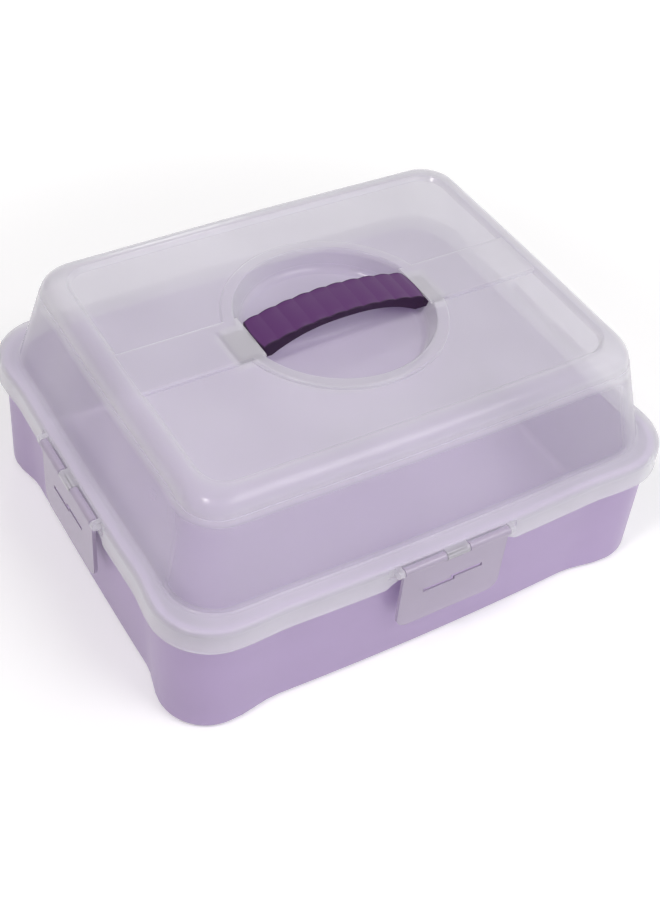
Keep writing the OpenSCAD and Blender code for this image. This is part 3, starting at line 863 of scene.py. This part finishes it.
    def open_well(self, lid, m):
        """Clears the well and the two pockets"""
        inner, outer = m.well_radius - m.well_draft + 0.01, m.well_radius + 0.02
        foot, brim = m.well_floor + 4.7, m.panel_top + m.ring_rise - m.ring_round
        plug = turned("plug", [(0, foot), (inner, foot), (outer, brim), (outer, brim + 0.1),
                               (0, brim + 0.1)])
        carve(lid, plug)
        carve(lid, block("pockets", (-m.pocket_end, -m.pocket_half, m.pocket_floor),
                         (m.pocket_end, m.pocket_half, m.pocket_roof)))

    def latch_bar(self, m):
        """The bar of one latch with its middle lug and two end lugs"""
        half = m.latch_width / 2 + m.lug_gap
        reach = half + m.end_lug
        rail = bar("rail", (0, -m.bar_out, m.bar_height), m.bar_radius, 2 * reach - 1)
        for low, high in ((-m.middle_lug, m.middle_lug), (-reach, -half), (half, reach)):
            middle, width = (low + high) / 2, high - low
            fuse(rail, bar("lug", (middle, -m.bar_out, m.bar_height), m.clip_radius, width, 0.25))
            fuse(rail, block("arm", (low, -m.bar_out, m.bar_height - m.clip_radius + 0.05),
                             (high, 1.8, m.bar_height + m.clip_radius - 0.05), 0.2))
        return rail

    def knuckle(self, m):
        """The lid's knuckle of one hinge, on an arm from the skirt"""
        width = m.lid_knuckle
        knuckle = bar("knuckle", (0, -m.hinge_out, m.skirt_edge), m.knuckle_radius, width, 0.3)
        arm = block("arm", (-width / 2, -m.hinge_out + 0.2, m.skirt_edge + 1.6),
                    (width / 2, 2.1, m.skirt_edge + 11), 0.25)

        def slope(place):
            if place.y < -2:
                place.z -= m.arm_slope if place.z > m.skirt_edge + 6 else 1.2

        return fuse(knuckle, reshaped(arm, slope))


class CARRIER_OT_strap(bpy.types.Operator):
    """Model the carrying strap: an arched bar with rounded ribs and a tongue at each end"""

    bl_idname = "carrier.strap"
    bl_label = "Carrying strap"

    def execute(self, context):
        m = Measures(context.scene.carrier_sizes)
        half = m.strap_half
        deselect()
        bpy.ops.mesh.primitive_grid_add(x_subdivisions=24 * m.rib_count, y_subdivisions=10, size=2,
                                        location=(0, 0, 0))
        strap = named("strap_moulding")
        bpy.ops.object.mode_set(mode="EDIT")
        bpy.ops.mesh.select_all(action="SELECT")
        bpy.ops.transform.resize(value=(half, m.strap_width / 2, 1))
        mesh = bmesh.from_edit_mesh(strap.data)
        for vert in mesh.verts:
            vert.co = self.trimmed(vert.co, m)
            vert.co.z = self.crown(vert.co, m)
        bmesh.update_edit_mesh(strap.data)
        bpy.ops.mesh.extrude_region_move()
        mesh = bmesh.from_edit_mesh(strap.data)
        for vert in [v for v in mesh.verts if v.select]:
            vert.co.z = self.belly(vert.co.x, m)
        bmesh.update_edit_mesh(strap.data)
        bpy.ops.mesh.select_all(action="SELECT")
        bpy.ops.mesh.normals_make_consistent(inside=False)
        bpy.ops.object.mode_set(mode="OBJECT")
        edge_rounding(strap, 0.7, angle=50, segments=3)
        for side in (-1, 1):
            ends = [side * (half - 4), side * m.tongue_end]
            fuse(strap, block("tongue", (min(ends), -m.strap_width / 2, m.tongue_bottom),
                              (max(ends), m.strap_width / 2, m.tongue_bottom + m.tongue_thickness),
                              0.3))
        colours = context.scene.carrier_colours
        # The strap's finish paints shade on its sides, ends and tongues, darker than its top
        finish = moulded_plastic("purple plastic", tuple(colours.strap), 0.42, 0.00003, shine=0.25,
                                 painted_edge_shade=(m.strap_width / 2 * MM, m.strap_half * MM))
        finish_piece(strap, finish, "strap_body", "strap_plastic", "carrying_strap")
        return {"FINISHED"}

    def trimmed(self, place, m):
        """Brings the square ends of the grid onto the round of the well"""
        reach = math.sqrt(m.strap_half ** 2 - place.y ** 2)
        return Vector((place.x * reach / m.strap_half, place.y, place.z))

    def crown(self, place, m):
        """Height of the top face: the arch, the ribs across it and a slight camber"""
        pitch = 2 * m.strap_half / m.rib_count
        share = place.x / m.strap_half
        fade = min(1.0, max(0.0, (m.strap_half - abs(place.x) - 1.5) / m.rib_fade))
        edge = min(1.0, max(0.0, (m.strap_width / 2 - abs(place.y)) / 1.6))
        rib = abs(math.sin(math.pi * place.x / pitch + math.pi / 2 * (m.rib_count % 2)))
        camber = m.strap_camber * (1 - (2 * place.y / m.strap_width) ** 2)
        height = m.channel_top + m.strap_arch * (1 - share * share) - m.strap_camber + camber
        return height + m.rib_height * rib * fade * (1 - 0.55 * edge)

    def belly(self, x, m):
        """Height of the underside, which arches up over the fingers"""
        inner, steepness = m.strap_half - m.belly_end, 2.4
        if abs(x) >= inner:
            return m.tongue_bottom
        rise = m.channel_top + m.strap_arch - m.strap_thickness - m.tongue_bottom
        return m.tongue_bottom + rise * (1 - abs(x / inner) ** steepness)


class CARRIER_OT_latches(bpy.types.Operator):
    """Model one swing latch and copy it to the front, the left and the right"""

    bl_idname = "carrier.latches"
    bl_label = "Latches"

    def execute(self, context):
        m = Measures(context.scene.carrier_sizes)
        colours = context.scene.carrier_colours
        finish = frosted_plastic("frosted latch plastic", tuple(colours.latch), colours.latch_veil,
                                 0.16)
        pattern = self.latch(m)
        for side in ("front", "left", "right"):
            activate(pattern)
            bpy.ops.object.duplicate(linked=False)
            latch = placed(named(f"latch_{side}_moulding"), side, m)
            finish_piece(latch, finish, f"latch_{side}_body", "latch_plastic", f"latch_{side}")
        discard(pattern)
        return {"FINISHED"}

    def latch(self, m):
        """A plate with rounded lower corners, a stepped slot and two clips round the bar"""
        half, gap, lug = m.latch_width / 2, m.catch_gap, m.middle_lug + m.lug_gap
        foot = m.flange_top - m.latch_length
        front = -m.latch_gap - m.latch_plate
        plate = block("plate", (-half, front, foot), (half, -m.latch_gap, m.bar_height))

        def lower_corner(a, b):
            return abs(a.y - b.y) > 1 and max(a.z, b.z) < foot + 1

        rounded(plate, lower_corner, m.latch_corner, 12)
        length, thick, step = m.catch_length, m.catch_thickness, m.catch_step
        low, high = m.catch_height - step / 2, m.catch_height + step / 2
        slot = block("slot", (-length - gap, -9, low - thick / 2 - gap),
                     (gap, 5, low + thick / 2 + gap))
        fuse(slot, block("slot_upper", (-gap, -9.1, high - thick / 2 - gap),
                         (length + gap, 5.1, high + thick / 2 + gap)))
        fuse(slot, block("slot_upright", (-thick / 2 - gap, -9.2, low - thick / 2 - gap + 0.01),
                         (thick / 2 + gap, 5.2, high + thick / 2 + gap - 0.01)))
        carve(plate, slot)
        width = half - lug
        for side in (-1, 1):
            fuse(plate, bar("clip", (side * (half - width / 2), -m.bar_out, m.bar_height),
                            m.clip_radius, width))
        carve(plate, block("lug_room", (-lug, -9, m.bar_height - m.clip_radius - 0.7),
                           (lug, 5, m.bar_height + 20)))
        carve(plate, bar("bore", (0, -m.bar_out, m.bar_height), m.bar_radius + m.clip_gap, 90))
        carve(plate, block("mouth", (-half - 1, -m.bar_out, m.bar_height - m.clip_mouth),
                           (half + 1, 10, m.bar_height + m.clip_mouth)))
        return edge_rounding(plate, 0.35, angle=40, segments=2)


class CARRIER_OT_hinge_pins(bpy.types.Operator):
    """Give the two hinge pins of the frame their drawn steel"""

    bl_idname = "carrier.hinge_pins"
    bl_label = "Hinge pins"

    def execute(self, context):
        steel = drawn_steel("drawn steel")
        for name in ("hinge_pin_left", "hinge_pin_right"):
            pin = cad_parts[name]
            pin.data.materials.clear()
            pin.data.materials.append(steel)
        return {"FINISHED"}


# ---- Stage ----


class CARRIER_OT_stage(bpy.types.Operator):
    """Set the pale floor, the soft lamps, the world and the camera"""

    bl_idname = "carrier.stage"
    bl_label = "Stage"

    def execute(self, context):
        scene = context.scene
        scene.view_settings.view_transform = "Standard"
        self.floor()
        self.world(scene)
        self.lamp("key lamp", (0.55, -1.15, 1.5), 1.1, 14.5, (1.0, 1.0, 1.0))
        self.lamp("fill lamp", (-1.0, -0.35, 1.7), 0.3, 10.0, (1.0, 0.94, 0.95))
        self.lamp("back lamp", (0.6, 1.6, 1.0), 0.3, 1.8, (1.0, 1.0, 1.0))
        self.camera(scene)
        return {"FINISHED"}

    def floor(self):
        deselect()
        bpy.ops.mesh.primitive_circle_add(vertices=96, radius=6, fill_type="NGON",
                                          location=(0, 0, -0.0004))
        floor = named("floor")
        bpy.ops.object.transform_apply(location=True, rotation=True, scale=True)
        finish = Finish("pale floor")
        finish.shader.inputs["Base Color"].default_value = (0.86, 0.86, 0.86, 1)
        finish.shader.inputs["Roughness"].default_value = 0.8
        finish.shader.inputs["Emission Color"].default_value = (1, 1, 1, 1)
        path = finish.node("ShaderNodeLightPath")
        seen = finish.maths("MAXIMUM", path.outputs["Is Camera Ray"],
                            finish.maths("MAXIMUM", path.outputs["Is Glossy Ray"],
                                         path.outputs["Is Transmission Ray"]))
        distance = finish.node("ShaderNodeVectorMath", operation="LENGTH")
        finish.link(finish.place, distance.inputs[0])
        glow = finish.spread(distance.outputs["Value"], 0.3, 0.9, 0.3, 0.8)
        finish.link(finish.maths("MULTIPLY", seen, glow),
                    finish.shader.inputs["Emission Strength"])
        floor.data.materials.append(finish.material)

    def world(self, scene):
        world = bpy.data.worlds.new("studio")
        scene.world = world
        world.use_nodes = True
        tree = world.node_tree
        tree.nodes.clear()
        path = tree.nodes.new("ShaderNodeLightPath")
        gloss = tree.nodes.new("ShaderNodeMath")
        gloss.operation = "MAXIMUM"
        seen = tree.nodes.new("ShaderNodeMath")
        seen.operation = "MAXIMUM"
        tree.links.new(path.outputs["Is Glossy Ray"], gloss.inputs[0])
        tree.links.new(path.outputs["Is Transmission Ray"], gloss.inputs[1])
        tree.links.new(path.outputs["Is Camera Ray"], seen.inputs[0])
        tree.links.new(gloss.outputs[0], seen.inputs[1])
        light = tree.nodes.new("ShaderNodeBackground")
        light.inputs["Strength"].default_value = 0.40
        white = tree.nodes.new("ShaderNodeBackground")
        white.inputs["Color"].default_value = (1, 1, 1, 1)
        mix = tree.nodes.new("ShaderNodeMixShader")
        output = tree.nodes.new("ShaderNodeOutputWorld")
        tree.links.new(seen.outputs[0], mix.inputs["Fac"])
        tree.links.new(light.outputs[0], mix.inputs[1])
        tree.links.new(white.outputs[0], mix.inputs[2])
        tree.links.new(mix.outputs[0], output.inputs["Surface"])

    def lamp(self, name, place, size, power, colour):
        deselect()
        bpy.ops.object.light_add(type="AREA", location=place)
        lamp = bpy.context.object
        lamp.name = name
        lamp.data.shape = "DISK"
        lamp.data.size = size
        lamp.data.energy = power
        lamp.data.color = colour
        aim = Vector((0, 0, 0.08)) - Vector(place)
        lamp.rotation_euler = aim.to_track_quat("-Z", "Y").to_euler()

    def camera(self, scene):
        deselect()
        bpy.ops.object.camera_add(
            location=(-0.3717, -0.5406, 0.6795),
            rotation=[math.radians(a) for a in (45.504, -4.575, -30.558)])
        camera = bpy.context.object
        camera.data.lens = 56.9
        camera.data.sensor_width = 36
        camera.data.clip_start = 0.01
        camera.data.clip_end = 50
        scene.camera = camera


class CARRIER_PT_panel(bpy.types.Panel):
    """Sizes, colours and steps of the cake carrier"""

    bl_idname = "CARRIER_PT_panel"
    bl_label = "Cake Carrier"
    bl_space_type = "VIEW_3D"
    bl_region_type = "UI"
    bl_category = "Cake Carrier"

    def draw(self, context):
        layout = self.layout
        for title, group in (("Sizes", context.scene.carrier_sizes),
                             ("Colours", context.scene.carrier_colours)):
            column = layout.column(align=True)
            column.label(text=title)
            for name in group.bl_rna.properties.keys():
                if name not in ("rna_type", "name"):
                    column.prop(group, name)
        for step in STEPS:
            layout.operator(step.bl_idname)


STEPS = (CARRIER_OT_tray, CARRIER_OT_lid, CARRIER_OT_strap, CARRIER_OT_latches,
         CARRIER_OT_hinge_pins, CARRIER_OT_stage)
CLASSES = (CarrierSizes, CarrierColours, *STEPS, CARRIER_PT_panel)


def register():
    for kind in CLASSES:
        bpy.utils.register_class(kind)
    bpy.types.Scene.carrier_sizes = bpy.props.PointerProperty(type=CarrierSizes)
    bpy.types.Scene.carrier_colours = bpy.props.PointerProperty(type=CarrierColours)


def unregister():
    del bpy.types.Scene.carrier_colours
    del bpy.types.Scene.carrier_sizes
    for kind in reversed(CLASSES):
        bpy.utils.unregister_class(kind)


def main():
    register()
    for step in STEPS:
        getattr(bpy.ops.carrier, step.bl_idname.split(".")[1])()


if __name__ == "__main__":
    main()
